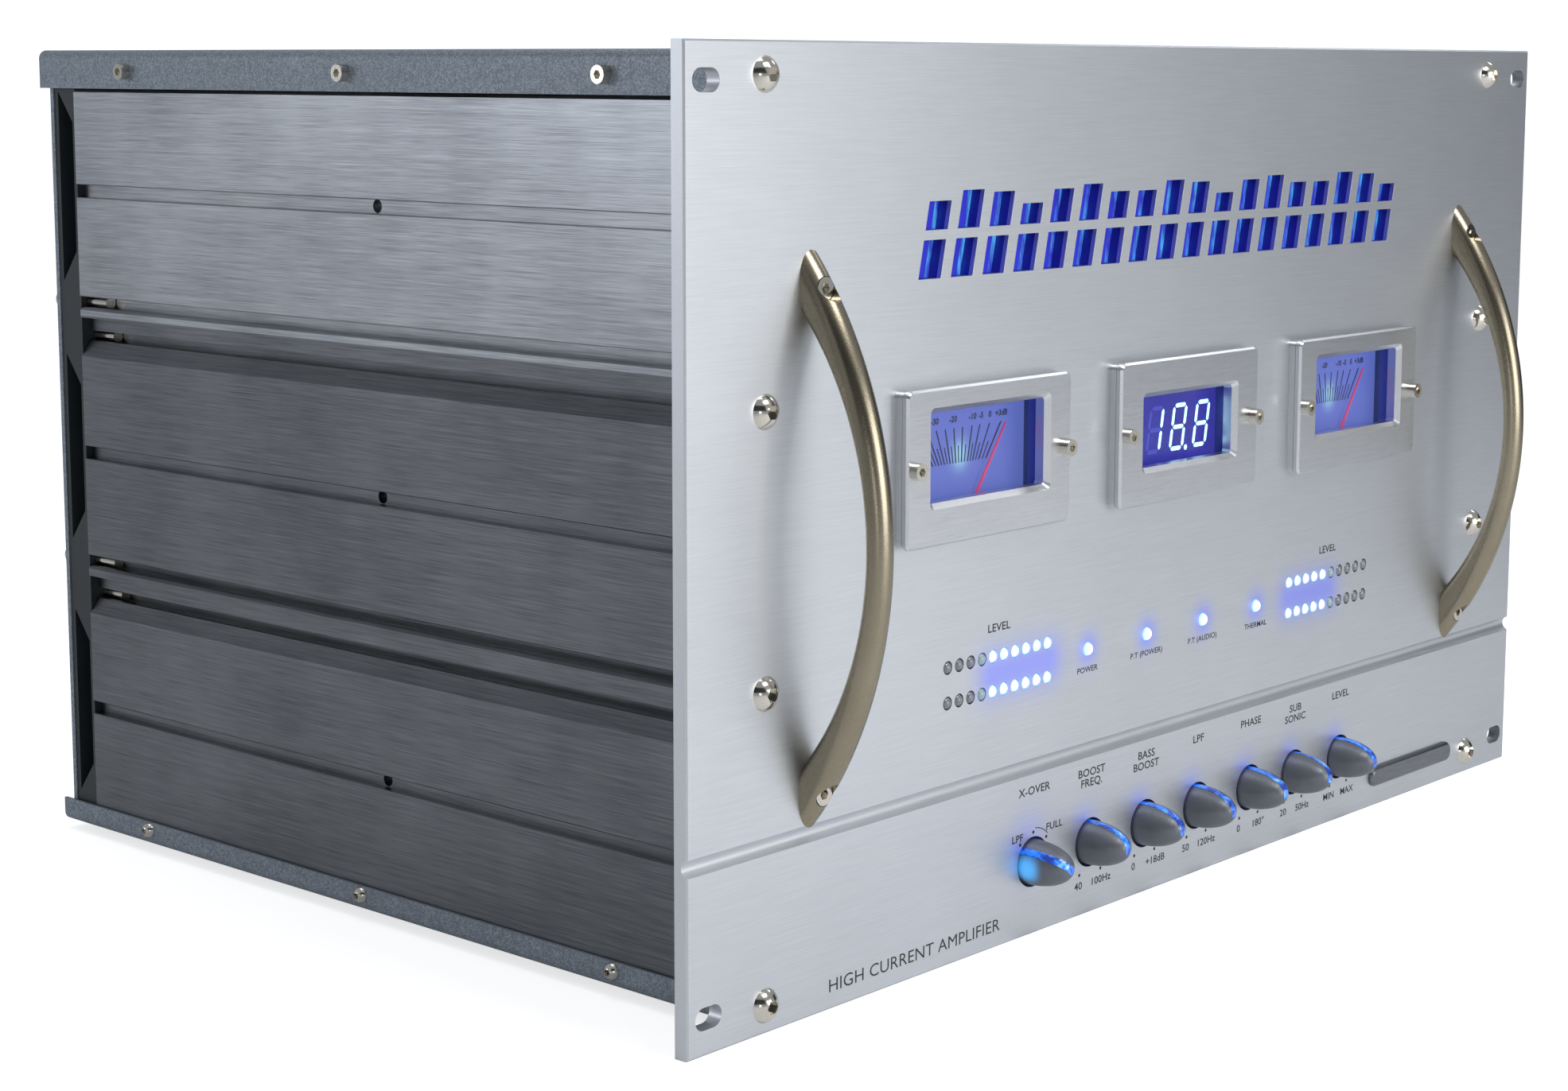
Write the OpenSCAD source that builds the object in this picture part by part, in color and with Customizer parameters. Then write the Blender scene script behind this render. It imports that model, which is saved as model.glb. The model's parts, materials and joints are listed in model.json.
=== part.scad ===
// Rack-width car audio amplifier, built as it comes apart on a bench.
// Millimetres, +Z up, front panel facing -Y, +X to the right of someone facing the panel.
// The origin is under the middle of the whole object, level with the panel's lower edge.

/* [Front panel] */
// Width of the front panel, the 19-inch rack width
panel_w = 482.6; // [482.6:0.1:483]
// Height of the front panel
panel_h = 289; // [286:0.5:292]
// Thickness of the front panel
panel_t = 5; // [4:0.5:6]
// Small chamfer round the panel's front edges
panel_chamfer = 0.6; // [0.3:0.1:1]
// Height of the half-round groove above the panel's lower edge
groove_z = 56.5; // [54:0.5:59]
// Radius of the half-round groove
groove_r = 2.7; // [2:0.1:3]

/* [Rack slots] */
// Distance between the left and right slot centres
slot_spacing_x = 465.1; // [464:0.1:466]
// Distance between the upper and lower slot centres, six rack units
slot_spacing_z = 266.7; // [266.7:0.1:266.8]
// End-to-end length of a rack slot
slot_length = 11; // [9:0.5:12]
// Height of a rack slot
slot_height = 6.8; // [6.4:0.1:7.2]

/* [Chassis] */
// Width across the heatsink faces
chassis_w = 430; // [424:1:432]
// Height of the case above the panel's lower edge
chassis_z = 3.2; // [2:0.2:4]
// Overall height of the case over both covers
chassis_h = 283.4; // [282:0.2:285]
// Distance from the panel's front face to the rear edge of the covers
cover_end = 346.7; // [345:0.1:348]
// Sheet thickness of the covers
cover_t = 1.2; // [1:0.1:1.4]
// Outside bend radius of the covers
bend_r = 3; // [2:0.5:4]
// Lower edge of the top cover's flange
top_flange_z = 273.2; // [272.8:0.1:273.6]
// Upper edge of the bottom cover's flange
bottom_flange_z = 11.7; // [11:0.1:12]
// Distance from the panel's front face to the first cover screw
cover_screw_y = 56; // [50:1:60]
// Distance between cover screws
cover_screw_pitch = 119; // [115:1:120]

/* [Heatsinks] */
// Height of one heatsink extrusion
module_h = 94.2; // [94:0.1:94.4]
// Distance from the panel's front face to the rear end of the heatsinks
sink_end = 328.3; // [326:0.1:330]
// Depth of a heatsink, from its outer face to its fin tips
sink_depth = 36; // [34:1:38]
// Thickness of the bars behind the panel that take the handle screws
front_rail_t = 12; // [10:1:14]

/* [Handles] */
// Distance from the panel's centre line to each handle
handle_x = 189; // [186:0.5:192]
// Height of the middle of the handles
handle_z = 143.9; // [142:0.1:146]
// Distance between the two screws of a handle
handle_screw_spacing = 149; // [147:0.5:150]
// Length of a handle from tip to tip
handle_len = 171; // [169:0.5:173]
// How far the handle's outer curve stands out from the panel
bow_out = 30.2; // [28:0.2:32]
// How far the handle's inner curve stands out from the panel
bow_in = 22.8; // [21:0.2:24]
// Length of the finger gap where the inner curve meets the panel
gap_len = 130; // [128:0.5:132]
// Width of the handle's rounded section
bow_w = 10; // [9:0.5:11]

/* [Meters and display] */
// Distance from the panel's centre line to each meter
meter_x = 109.8; // [108:0.1:111]
// Width of a bezel
bezel_w = 82.2; // [81:0.1:83]
// Height of a bezel
bezel_h = 48.6; // [48:0.1:50]
// Height of the bezels' centres
bezel_z = 160.9; // [160:0.1:162]
// Thickness of a bezel
bezel_t = 5; // [4:0.5:6]
// Distance between the two screws of a bezel
bezel_screw_spacing = 75.6; // [75:0.1:76]
// Width of a meter's window
window_w = 60.4; // [59:0.1:61]
// Height of a meter's window
window_h = 31; // [30:0.5:32]
// Height of the windows' centres
window_z = 163.7; // [163:0.1:164]
// Width of the display's window
display_w = 57; // [55:0.5:58]
// Height of the display's window
display_h = 27; // [25:0.5:28]
// Depth of the dials behind the panel's front face
dial_y = 8; // [8:0.1:9]
// Height of the needles' pivots
pivot_z = 139; // [138.5:0.1:139.5]
// Length of a needle from pivot to tip
needle_len = 37.3; // [34:0.1:38]
// Lean of the needles to the right, where they are drawn
needle_lean = 34.6; // [30:0.1:36]

/* [Lamps] */
// Distance between lamps in a level row
lamp_pitch = 5.75; // [5.5:0.05:6]
// Lamps in a level row
lamp_count = 10; // [6:1:10]
// Distance from the centre line to the middle of a level group
level_x = 98.8; // [97:0.1:100]
// Height of the upper row of level lamps
level_top_z = 96.2; // [95:0.1:97]
// Height of the lower row of level lamps
level_low_z = 84.9; // [84:0.1:86]
// Distance between indicator lamps
indicator_pitch = 33.9; // [33:0.1:35]
// Height of the indicator lamps
indicator_z = 90.8; // [90:0.1:92]
// Radius of a level lamp
lamp_r = 2.1; // [1.6:0.1:2.2]
// Radius of an indicator lamp
indicator_r = 2.3; // [1.5:0.1:2.5]

/* [Controls] */
// Distance between knobs
knob_pitch = 31.7; // [31:0.1:32]
// Distance from the centre line to the first knob
first_knob_x = -79.4; // [-82:0.1:-79]
// Extra distance to the right of the phase knob
phase_shift = 1.9; // [0:0.1:2.5]
// Height of the knobs
knob_z = 24.4; // [23:0.1:26]
// Radius of a knob at its base
knob_r = 7.5; // [7:0.1:7.8]
// How far a knob stands out from the panel
knob_out = 15.8; // [15:0.1:18]
// Radius of the clearance hole round a knob
knob_hole_r = 8.4; // [8.1:0.1:8.5]
// Width of the clear stripe in a knob
stripe_w = 2.6; // [2:0.1:3]

/* [Lit cut-out] */
// Number of slanted bars in the cut-out
bar_count = 18; // [12:1:20]
// Length of the cut-out
cutout_w = 286; // [270:1:290]
// Lower edge of the cut-out
cutout_z = 218; // [216:0.5:220]
// Height of the cut-out
cutout_h = 26.5; // [24:0.5:28]
// Height of the strip that splits the cut-out in two
split_h = 3; // [2.5:0.5:4]

/* [Rear] */
// Distance from the centre line to each fan
fan_x = 70; // [60:1:90]
// Height of the fans
fan_z = 196; // [190:1:200]
// Side of a fan's square frame
fan_size = 92; // [80:1:92]
// How far the terminals stand out behind the rear panel
terminal_out = 16; // [14:1:18]
// Radius of the bores that take the power wires
power_bore_r = 4.6; // [4:0.1:5]
// Radius of the bores that take the speaker wires
speaker_bore_r = 3; // [2.5:0.1:3.4]

/* [Hidden] */
$fn = 64;
gap = 0.1;
cut = 1;
case_half = chassis_w / 2;
case_low = chassis_z + cover_t;
case_high = chassis_z + chassis_h - cover_t;
case_skin = case_half + 0.3;
rail_front = panel_t + 0.05;
rail_back = panel_t + front_rail_t;
rear_frame_end = 340.8;
rear_face = 343;
rear_t = 2;
rear_reach = rear_face + terminal_out;
mid_y = (rear_reach - bow_out) / 2;
frame_screw_spots = [5.9, 87.9];
panel_screw_x = 208.5;
panel_screw_z = [8.6, 102, 184, 279.4];
cover_screws_y = [for (i = [0 : 2]) cover_screw_y + i * cover_screw_pitch];
top_screw_z = case_high - module_h + 87.9;
bottom_screw_z = case_high - 3 * module_h + 5.9;
knob_names = ["crossover", "boost_freq", "bass_boost", "low_pass", "phase", "subsonic", "level"];
knob_turns = [-50, -6, -6, -6, -6, 8, -6];
window_low = window_z - window_h / 2;
board_z = 21;
board_t = 1.6;

// ---------- shapes that several parts share ----------

// Moves a part drawn with the panel's front face at Y = 0 to the object's own origin
module seat() translate([0, -mid_y, 0]) children();

// A mirrored pair, left and right
module pair() {
    children();
    mirror([1, 0, 0]) children();
}

// A cylinder along Y
module rod_y(r, y0, y1) translate([0, y0, 0]) rotate([-90, 0, 0]) cylinder(r = r, h = y1 - y0);

// A cylinder along X
module rod_x(r, x0, x1) translate([x0, 0, 0]) rotate([0, 90, 0]) cylinder(r = r, h = x1 - x0);

// An outline drawn in X and Z, given thickness along Y
module slab_y(y0, y1) translate([0, y1, 0]) rotate([90, 0, 0]) linear_extrude(y1 - y0) children();

// An outline drawn in Y and Z, given thickness along X
module slab_x(x0, x1) translate([x0, 0, 0]) rotate([90, 0, 90]) linear_extrude(x1 - x0) children();

// A box from its lowest to its highest corner
module block(low, high) translate(low) cube(high - low);

// A rectangle with round corners, centred
module rounded(w, h, r) {
    square([w - 2 * r, h], center = true);
    square([w, h - 2 * r], center = true);
    for (x = [-1, 1], z = [-1, 1]) translate([x * (w / 2 - r), z * (h / 2 - r)]) circle(r);
}

// A screw along Y with its head towards -Y: shank from under_head back to tip
module cap_screw(head_r, head_h, shank_r, under_head, tip, key) {
    difference() {
        rod_y(head_r, under_head - head_h, under_head);
        translate([0, under_head - head_h - cut, 0]) rotate([-90, 0, 0])
            cylinder(r = key / sqrt(3), h = cut + head_h * 0.55, $fn = 6);
    }
    rod_y(shank_r, under_head - 0.01, tip);
}

// A screw along Y with a domed head
module dome_screw(head_r, head_h, shank_r, under_head, tip, key) {
    ball_r = (head_r * head_r + head_h * head_h) / (2 * head_h);
    difference() {
        intersection() {
            rod_y(head_r, under_head - head_h - cut, under_head);
            translate([0, under_head - head_h + ball_r, 0]) sphere(ball_r);
        }
        translate([0, under_head - head_h - cut, 0]) rotate([-90, 0, 0])
            cylinder(r = key / sqrt(3), h = cut + head_h * 0.6, $fn = 6);
    }
    rod_y(shank_r, under_head - 0.01, tip);
}

function knob_x(i) = first_knob_x + i * knob_pitch + (i == 4 ? phase_shift : 0);
function lamp_x(i) = (i - (lamp_count - 1) / 2) * lamp_pitch;
function fan_spots() = [-fan_x, fan_x];

// ---------- front panel ----------

// One slanted bar between two heights, in X and Z
slant = 0.22;
module bar(x, w, z0, z1) {
    polygon([[x + slant * z0, z0], [x + w + slant * z0, z0], [x + w + slant * z1, z1], [x + slant * z1, z1]]);
}

// A row of slanted bars whose tops rise and fall, split by a level strip
module cutout_outline() {
    pitch = (cutout_w - slant * cutout_h) / bar_count;
    width = pitch * 0.68;
    middle = cutout_h / 2;
    for (i = [0 : bar_count - 1]) {
        x = -cutout_w / 2 + i * pitch + (pitch - width) / 2;
        rise = 0.55 + 0.45 * abs(sin(i * 360 / 7 + 25));
        translate([0, cutout_z]) {
            bar(x, width, 0, middle - split_h / 2);
            bar(x, width, middle + split_h / 2, middle + split_h / 2 + (middle - split_h / 2) * rise);
        }
    }
}

module panel_blank() {
    c = panel_chamfer;
    intersection() {
        slab_x(-panel_w / 2, panel_w / 2)
            polygon([[0, c], [c, 0], [panel_t, 0], [panel_t, panel_h], [c, panel_h], [0, panel_h - c]]);
        linear_extrude(panel_h)
            polygon([[-panel_w / 2, c], [c - panel_w / 2, 0], [panel_w / 2 - c, 0], [panel_w / 2, c],
                     [panel_w / 2, panel_t], [-panel_w / 2, panel_t]]);
    }
}

module rack_slot() {
    half = (slot_length - slot_height) / 2;
    for (x = [-half, half]) translate([x, 0, 0]) rod_y(slot_height / 2, -cut, panel_t + cut);
    block([-half, -cut, -slot_height / 2], [half, panel_t + cut, slot_height / 2]);
}

module panel_holes() {
    for (x = [-1, 1], z = [-1, 1])
        translate([x * slot_spacing_x / 2, 0, panel_h / 2 + z * slot_spacing_z / 2]) rack_slot();
    for (x = [-1, 1], z = panel_screw_z) translate([x * panel_screw_x, 0, z]) rod_y(3.2, -cut, panel_t + cut);
    for (x = [-1, 1], z = [-1, 1])
        translate([x * handle_x, 0, handle_z + z * handle_screw_spacing / 2]) rod_y(2.2, -cut, panel_t + cut);
    for (x = [-meter_x, 0, meter_x], side = [-1, 1])
        translate([x + side * bezel_screw_spacing / 2, 0, bezel_z]) rod_y(1.6, -cut, panel_t + cut);
    for (x = [-1, 1], i = [0 : lamp_count - 1], z = [level_low_z, level_top_z])
        translate([x * level_x + lamp_x(i), 0, z]) rod_y(lamp_r + gap, -cut, panel_t + cut);
    for (i = [-1.5 : 1 : 1.5])
        translate([i * indicator_pitch, 0, indicator_z]) rod_y(indicator_r + gap, -cut, panel_t + cut);
    for (i = [0 : 6]) translate([knob_x(i), 0, knob_z]) rod_y(knob_hole_r, -cut, panel_t + cut);
    translate([0, -groove_r * 0.15, groove_z]) rod_x(groove_r, -panel_w, panel_w);
}

module front_panel() color("gainsboro") seat() difference() {
    panel_blank();
    panel_holes();
    slab_y(-cut, panel_t + cut) {
        for (x = [-meter_x, meter_x]) translate([x, window_z]) rounded(window_w + 2, window_h + 2, 2);
        translate([0, bezel_z]) rounded(display_w + 2, display_h + 2, 2);
        cutout_outline();
    }
}

// Bars behind the panel, in front of the heatsinks' fins, tapped for the handle screws
module front_rails() color("silver") seat() pair() difference() {
    block([-case_half + fin_root + 0.1, rail_front, case_low + 0.1],
          [-case_half + sink_depth, rail_back, case_high - 0.1]);
    for (z = [-1, 1]) translate([-handle_x, 0, handle_z + z * handle_screw_spacing / 2])
        rod_y(2.05, panel_t - cut, rail_back + cut);
}

module panel_screws() color("lightyellow") seat() pair() for (z = panel_screw_z)
    translate([-panel_screw_x, 0, z]) dome_screw(5.25, 3.4, 3, 0, panel_t + 10, 4);

// ---------- handles ----------

// Radius of the arc through a chord's ends that rises by a given height in the middle
function arc_r(chord, rise) = (chord * chord / 4 + rise * rise) / (2 * rise);

module bow_handle() {
    outer_r = arc_r(handle_len, bow_out);
    inner_r = arc_r(gap_len, bow_in);
    edge = bow_w / 2;
    difference() {
        intersection() {
            translate([0, outer_r - bow_out, 0]) rotate([0, 90, 0]) rotate_extrude($fn = 180) {
                translate([0, -edge]) square([outer_r - edge, bow_w]);
                intersection() {
                    translate([outer_r - edge, 0]) circle(edge);
                    translate([0, -edge]) square([outer_r, bow_w]);
                }
            }
            block([-bow_w, -bow_out - cut, -handle_len], [bow_w, 0, handle_len]);
        }
        translate([0, inner_r - bow_in, 0]) rotate([0, 90, 0]) rotate_extrude($fn = 180) difference() {
            translate([0, -edge - cut]) square([inner_r + edge, bow_w + 2 * cut]);
            translate([inner_r + edge, 0]) circle(edge);
        }
        for (z = [-1, 1]) translate([0, 0, z * handle_screw_spacing / 2]) {
            rod_y(3.7, -bow_out, -2);
            rod_y(2.2, -bow_out, cut);
        }
    }
}

module handle_left() color("tan") seat() translate([-handle_x, 0, handle_z]) bow_handle();
module handle_right() color("tan") seat() translate([handle_x, 0, handle_z]) bow_handle();

module handle_screws() color("lightyellow") seat() for (x = [-1, 1], z = [-1, 1])
    translate([x * handle_x, 0, handle_z + z * handle_screw_spacing / 2])
        cap_screw(3.5, 3.6, 2, -2, rail_back - 2, 3);

// ---------- meters and display ----------

// A two-layer frame with a fine line between its layers and sloped edges round its window
module bezel(opening_w, opening_h, opening_z) {
    difference() {
        union() {
            slab_y(-2.4, 0) rounded(bezel_w - 0.6, bezel_h - 0.6, 2.1);
            slab_y(-2.8, -2.4) rounded(bezel_w - 1.4, bezel_h - 1.4, 1.7);
            hull() {
                slab_y(-bezel_t + 0.8, -2.8) rounded(bezel_w, bezel_h, 2.4, $fn = 32);
                slab_y(-bezel_t, -2.8) rounded(bezel_w - 1.4, bezel_h - 1.4, 1.7, $fn = 32);
            }
        }
        slab_y(-bezel_t - cut, cut) translate([0, opening_z]) rounded(opening_w - 3.2, opening_h - 3.2, 1.2);
        translate([0, 0, opening_z]) hull() {
            slab_y(-bezel_t - 0.1, -bezel_t) rounded(opening_w + 0.2, opening_h + 0.2, 2, $fn = 32);
            slab_y(-bezel_t + 1.6, -bezel_t + 1.7) rounded(opening_w - 3.2, opening_h - 3.2, 1.2, $fn = 32);
        }
        for (x = [-1, 1]) translate([x * bezel_screw_spacing / 2, 0, 0]) rod_y(1.6, -bezel_t - cut, cut);
    }
}

module meter_bezel_left() color("lightgray") seat()
    translate([-meter_x, 0, bezel_z]) bezel(window_w, window_h, window_z - bezel_z);
module meter_bezel_right() color("lightgray") seat()
    translate([meter_x, 0, bezel_z]) bezel(window_w, window_h, window_z - bezel_z);
module display_bezel() color("lightgray") seat() translate([0, 0, bezel_z]) bezel(display_w, display_h, 0);

module bezel_screws() color("lightyellow") seat() for (x = [-meter_x, 0, meter_x], side = [-1, 1])
    translate([x + side * bezel_screw_spacing / 2, 0, bezel_z])
        cap_screw(2.75, 3, 1.5, -bezel_t, panel_t + 6, 2.5);

// Clear plates that fill the panel's three window holes
module clear_windows() color("lightblue", 0.4) seat() slab_y(0.2, 1.8) {
    for (x = [-meter_x, meter_x]) translate([x, window_z]) rounded(window_w + 1.8, window_h + 1.8, 1.9);
    translate([0, bezel_z]) rounded(display_w + 1.8, display_h + 1.8, 1.9);
}

housing_w = 70;
housing_low = 127;
housing_high = 184;
housing_back = 34;

// Open-fronted cans that hold the dials and the movements
module meter_housings() color("royalblue") seat()
    for (x = [-meter_x, meter_x]) translate([x, 0, 0]) difference() {
    block([-housing_w / 2, panel_t + 0.05, housing_low], [housing_w / 2, housing_back, housing_high]);
    block([-housing_w / 2 + 2, panel_t - cut, housing_low + 2],
          [housing_w / 2 - 2, housing_back - 2, housing_high - 2]);
}

// Dial plates, each with a hole for its needle's hub
module meter_dials() color("lavender") seat()
    for (x = [-meter_x, meter_x]) translate([x, 0, 0]) difference() {
    block([-housing_w / 2 + 2.05, dial_y, housing_low + 2.05],
          [housing_w / 2 - 2.05, dial_y + 1, housing_high - 2.05]);
    translate([0, 0, pivot_z]) rod_y(3, dial_y - cut, dial_y + 2);
}

// Moving-coil movements: a round magnet with a pivot pin that the needle turns on
module meter_movements() color("dimgray") seat() for (x = [-meter_x, meter_x]) translate([x, 0, 0]) {
    translate([0, 0, 151]) rod_y(14, dial_y + 2.5, housing_back - 2.05);
    block([-12, dial_y + 4, housing_low + 2.1], [12, housing_back - 2.1, 151]);
    translate([0, 0, pivot_z]) rod_y(0.6, dial_y - 2.8, dial_y + 5);
}

// A tapered pointer with a hub bored to run on its pin and a tail that balances it
module needle() rotate([0, needle_lean, 0]) difference() {
    union() {
        rod_y(2.4, dial_y - 2.5, dial_y - 0.5);
        slab_y(dial_y - 2, dial_y - 1.5)
            polygon([[-0.9, -6], [0.9, -6], [0.7, 0], [0.22, needle_len], [-0.22, needle_len], [-0.7, 0]]);
        slab_y(dial_y - 2.3, dial_y - 1.2) translate([0, -5.2]) circle(1.5);
    }
    rod_y(0.65, dial_y - 4, dial_y + 2);
}

module meter_needle_left() color("crimson") seat() translate([-meter_x, 0, pivot_z]) needle();
module meter_needle_right() color("crimson") seat() translate([meter_x, 0, pivot_z]) needle();

module display_module() color("midnightblue") seat()
    block([-31, panel_t + 0.05, bezel_z - 17], [31, panel_t + 14, bezel_z + 17]);

// ---------- lit cut-out, lamps and their boards ----------

module light_panel() color("mediumblue") seat() block([-150, panel_t + 0.05, 211], [150, panel_t + 6, 251]);

// A lamp with a domed tip and a flange at its root; out is how far the dome's centre stands out
module lamp(r, out) {
    rod_y(r, -out, panel_t + 3);
    translate([0, -out, 0]) sphere(r, $fn = 32);
    rod_y(r + 0.4, panel_t + 2, panel_t + 3);
}

module level_leds() color("paleturquoise") seat()
    for (x = [-1, 1], i = [0 : lamp_count - 1], z = [level_low_z, level_top_z])
        translate([x * level_x + lamp_x(i), 0, z]) lamp(lamp_r, -1.3);

module indicator_leds() color("aquamarine") seat()
    for (i = [-1.5 : 1 : 1.5]) translate([i * indicator_pitch, 0, indicator_z]) lamp(indicator_r, -0.8);

module led_board() color("darkgreen") seat()
    block([-140, panel_t + 3.05, 76], [140, panel_t + 3.05 + board_t, 106]);

control_y = 32;
module control_board() color("darkgreen") seat()
    block([-100, control_y, knob_z - 14], [130, control_y + board_t, knob_z + 16]);

// ---------- controls ----------

// Half-section of a knob: a blunt bullet drawn as radius against height, shrunk by an inset
function bullet(r, h, inset) = concat([[0, -1], [r - inset, -1]],
    [for (a = [0 : 6 : 90]) [(r - inset) * pow(cos(a), 0.9), (h - inset) * sin(a)]]);

// Turns a shape drawn along +Y into the knob's place, leaning round its own axis
module knob_place(i) translate([knob_x(i), 0, knob_z]) rotate([0, knob_turns[i], 0]) children();

module knob_solid(inset) rotate([90, 0, 0]) rotate_extrude() polygon(bullet(knob_r, knob_out, inset));

// The slot for the clear stripe: along the top, then down over the nose as far as its tip
module stripe_slot(w, floor_z) {
    block([-w / 2, -knob_out - cut, floor_z], [w / 2, 3, knob_r + cut]);
    block([-w / 2, -knob_out - cut, floor_z - 4], [w / 2, -knob_out + 4.5, floor_z + cut]);
}

module knob_cap(i) color("slategray") seat() knob_place(i) difference() {
    knob_solid(0);
    stripe_slot(stripe_w, 2.6);
    rod_y(3.05, -11, 2);
}

// Clear moulding: the stripe, and the shaft that lights it and turns the control
module knob_core(i) color("dodgerblue") seat() knob_place(i) {
    intersection() {
        knob_solid(-0.15);
        stripe_slot(stripe_w - 0.04, 2.65);
        block([-knob_r, -knob_out + 0.2, -2], [knob_r, 0.9, knob_r + 1]);
    }
    rod_y(3, -10.9, 18.9);
}

module knob_crossover() knob_cap(0);
module knob_boost_freq() knob_cap(1);
module knob_bass_boost() knob_cap(2);
module knob_low_pass() knob_cap(3);
module knob_phase() knob_cap(4);
module knob_subsonic() knob_cap(5);
module knob_level() knob_cap(6);
module core_crossover() knob_core(0);
module core_boost_freq() knob_core(1);
module core_bass_boost() knob_core(2);
module core_low_pass() knob_core(3);
module core_phase() knob_core(4);
module core_subsonic() knob_core(5);
module core_level() knob_core(6);

// Six round potentiometers and, at the left, the square rotary switch of the crossover
module potentiometers() color("darkgray") seat()
    for (i = [0 : 6]) translate([knob_x(i), 0, knob_z]) difference() {
    union() {
        rod_y(4.6, 12, 19.2);
        if (i == 0) block([-9, 19, -9], [9, control_y - 0.05, 9]);
        else rod_y(8.2, 19, control_y - 0.05);
    }
    rod_y(3.05, 11, 19.5);
}

module badge() color("gainsboro") seat() translate([164, 0, 11.8]) hull() {
    slab_y(-1, 0) rounded(61, 7.6, 3.6, $fn = 32);
    slab_y(-1.8, 0) rounded(59.4, 6, 2.9, $fn = 32);
}

// ---------- case ----------

// Rectangle with its two upper corners rounded, from z0 to z1, half as wide as half_w each way
module case_arch(half_w, z0, z1, r) {
    translate([-half_w, z0]) square([2 * half_w, z1 - z0 - r]);
    translate([r - half_w, z0]) square([2 * (half_w - r), z1 - z0]);
    for (x = [-1, 1]) translate([x * (half_w - r), z1 - r]) circle(r);
}

// A sheet bent down at both sides, drawn for the top; flange is the length of the bent part
module cover_section(flange) difference() {
    case_arch(case_skin + cover_t, -flange, 0, bend_r);
    case_arch(case_skin, -flange - 1, -cover_t, bend_r - cover_t);
}

module cover(flange, screw_drop) difference() {
    slab_y(panel_t + 0.1, cover_end) cover_section(flange);
    for (side = [-1, 1], y = cover_screws_y) translate([0, y, -screw_drop])
        rod_x(1.7, side > 0 ? case_half - 1 : -case_half - 3, side > 0 ? case_half + 3 : -case_half + 1);
}

top_z = chassis_z + chassis_h;
module top_cover() color("lightslategray") seat() translate([0, 0, top_z])
    cover(top_z - top_flange_z, top_z - top_screw_z);
module bottom_cover() color("lightslategray") seat() translate([0, 0, chassis_z]) mirror([0, 0, 1])
    cover(bottom_flange_z - chassis_z, bottom_screw_z - chassis_z);

module side_screws(z) for (turn = [0, 180], y = cover_screws_y)
    rotate([0, 0, turn]) translate([-case_skin - cover_t, turn == 0 ? y : -y, z])
        rotate([0, 0, -90]) children();

module top_cover_screws() color("lightyellow") seat()
    side_screws(top_screw_z) cap_screw(2.75, 3.4, 1.5, 0, 9, 2.5);
module bottom_cover_screws() color("lightyellow") seat()
    side_screws(bottom_screw_z) dome_screw(2.9, 2.4, 1.5, 0, 8, 2);

// Half-section of a heatsink: u is the depth in from its outer face, v the height above its lower edge
fin_root = 13;
fin_levels = [12, 20, 28, 66, 74, 82];
function sink_face() = [
    [4, 0], [0, 0.4], [0, 3.1], [1.1, 4.1], [2.6, 4.1], [2.6, 3.1], [7, 3.1], [7, 8.8], [2.6, 8.8], [2.6, 8],
    [0.3, 8], [0, 8.3], [0, 43.1], [0.3, 43.4], [3.5, 43.4], [3.5, 48], [0.3, 48], [0, 48.3],
    [0, 80.7], [0.5, 81.2], [3.3, 86.1], [5.2, 86.1], [5.2, 85.1], [9.6, 85.1], [9.6, 90.7],
    [5.2, 90.7], [5.2, 89.7], [4, 89.7],
    [4, module_h - 0.1], [fin_root, module_h - 0.1], [fin_root, 0]];

module sink_fins() {
    for (v = fin_levels) translate([fin_root - 1, v]) square([sink_depth - fin_root + 1, 2.2]);
    translate([fin_root - 1, 38]) square([6, 20]);
}

// Three extrusions stacked, their lower edges cut level with the inside of the bottom cover.
// The fins stop short of the panel, and the slots' front ends are tapped for the panel screws.
module heatsink_bank() difference() {
    for (i = [1 : 3]) translate([-case_half, 0, case_high - i * module_h]) {
        slab_y(rail_front, sink_end) polygon(sink_face());
        slab_y(rail_back + 0.1, sink_end) sink_fins();
    }
    block([-case_half - cut, 0, case_low - 5], [-case_half + sink_depth + cut, sink_end + cut, case_low]);
    slab_y(0, sink_end + cut) polygon([
        [-case_half - cut, case_low - 1], [-case_half + 1.6, case_low - 1], [-case_half + 1.6, case_low],
        [-case_half, case_low + 1.6], [-case_half - cut, case_low + 1.6]]);
    for (i = [1 : 3]) translate([0, 166, case_high - i * module_h + 45.7])
        rod_x(2.2, -case_half - cut, -case_half + 6);
    for (z = panel_screw_z) translate([-panel_screw_x, 0, z]) rod_y(3.05, 0, 18);
}

module heatsinks_left() color("silver") seat() heatsink_bank();
module heatsinks_right() color("silver") seat() mirror([1, 0, 0]) heatsink_bank();

// Square nuts in the slots, behind the cover screws
module slot_nuts() color("khaki") seat() pair() for (y = cover_screws_y) {
    translate([-case_half, y, top_screw_z]) difference() {
        block([5.6, -2.7, -2.6], [9, 2.7, 2.6]);
        rod_x(1.55, 0, 12);
    }
    translate([-case_half, y, bottom_screw_z]) difference() {
        block([3, -2.5, -2.6], [6.6, 2.5, 2.6]);
        rod_x(1.55, 0, 12);
    }
}

// Screws that hold the rear frames in the ends of the heatsinks' slots
module frame_screws() color("lightyellow") seat() pair() for (i = [1 : 3], v = frame_screw_spots)
    translate([-case_half + (v < 50 ? 4.8 : 7.4), rear_face + 0.02, case_high - i * module_h + v])
        mirror([0, 1, 0]) cap_screw(3.4, 2.6, 2, 0, rear_face - sink_end + 12, 2.5);

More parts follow.
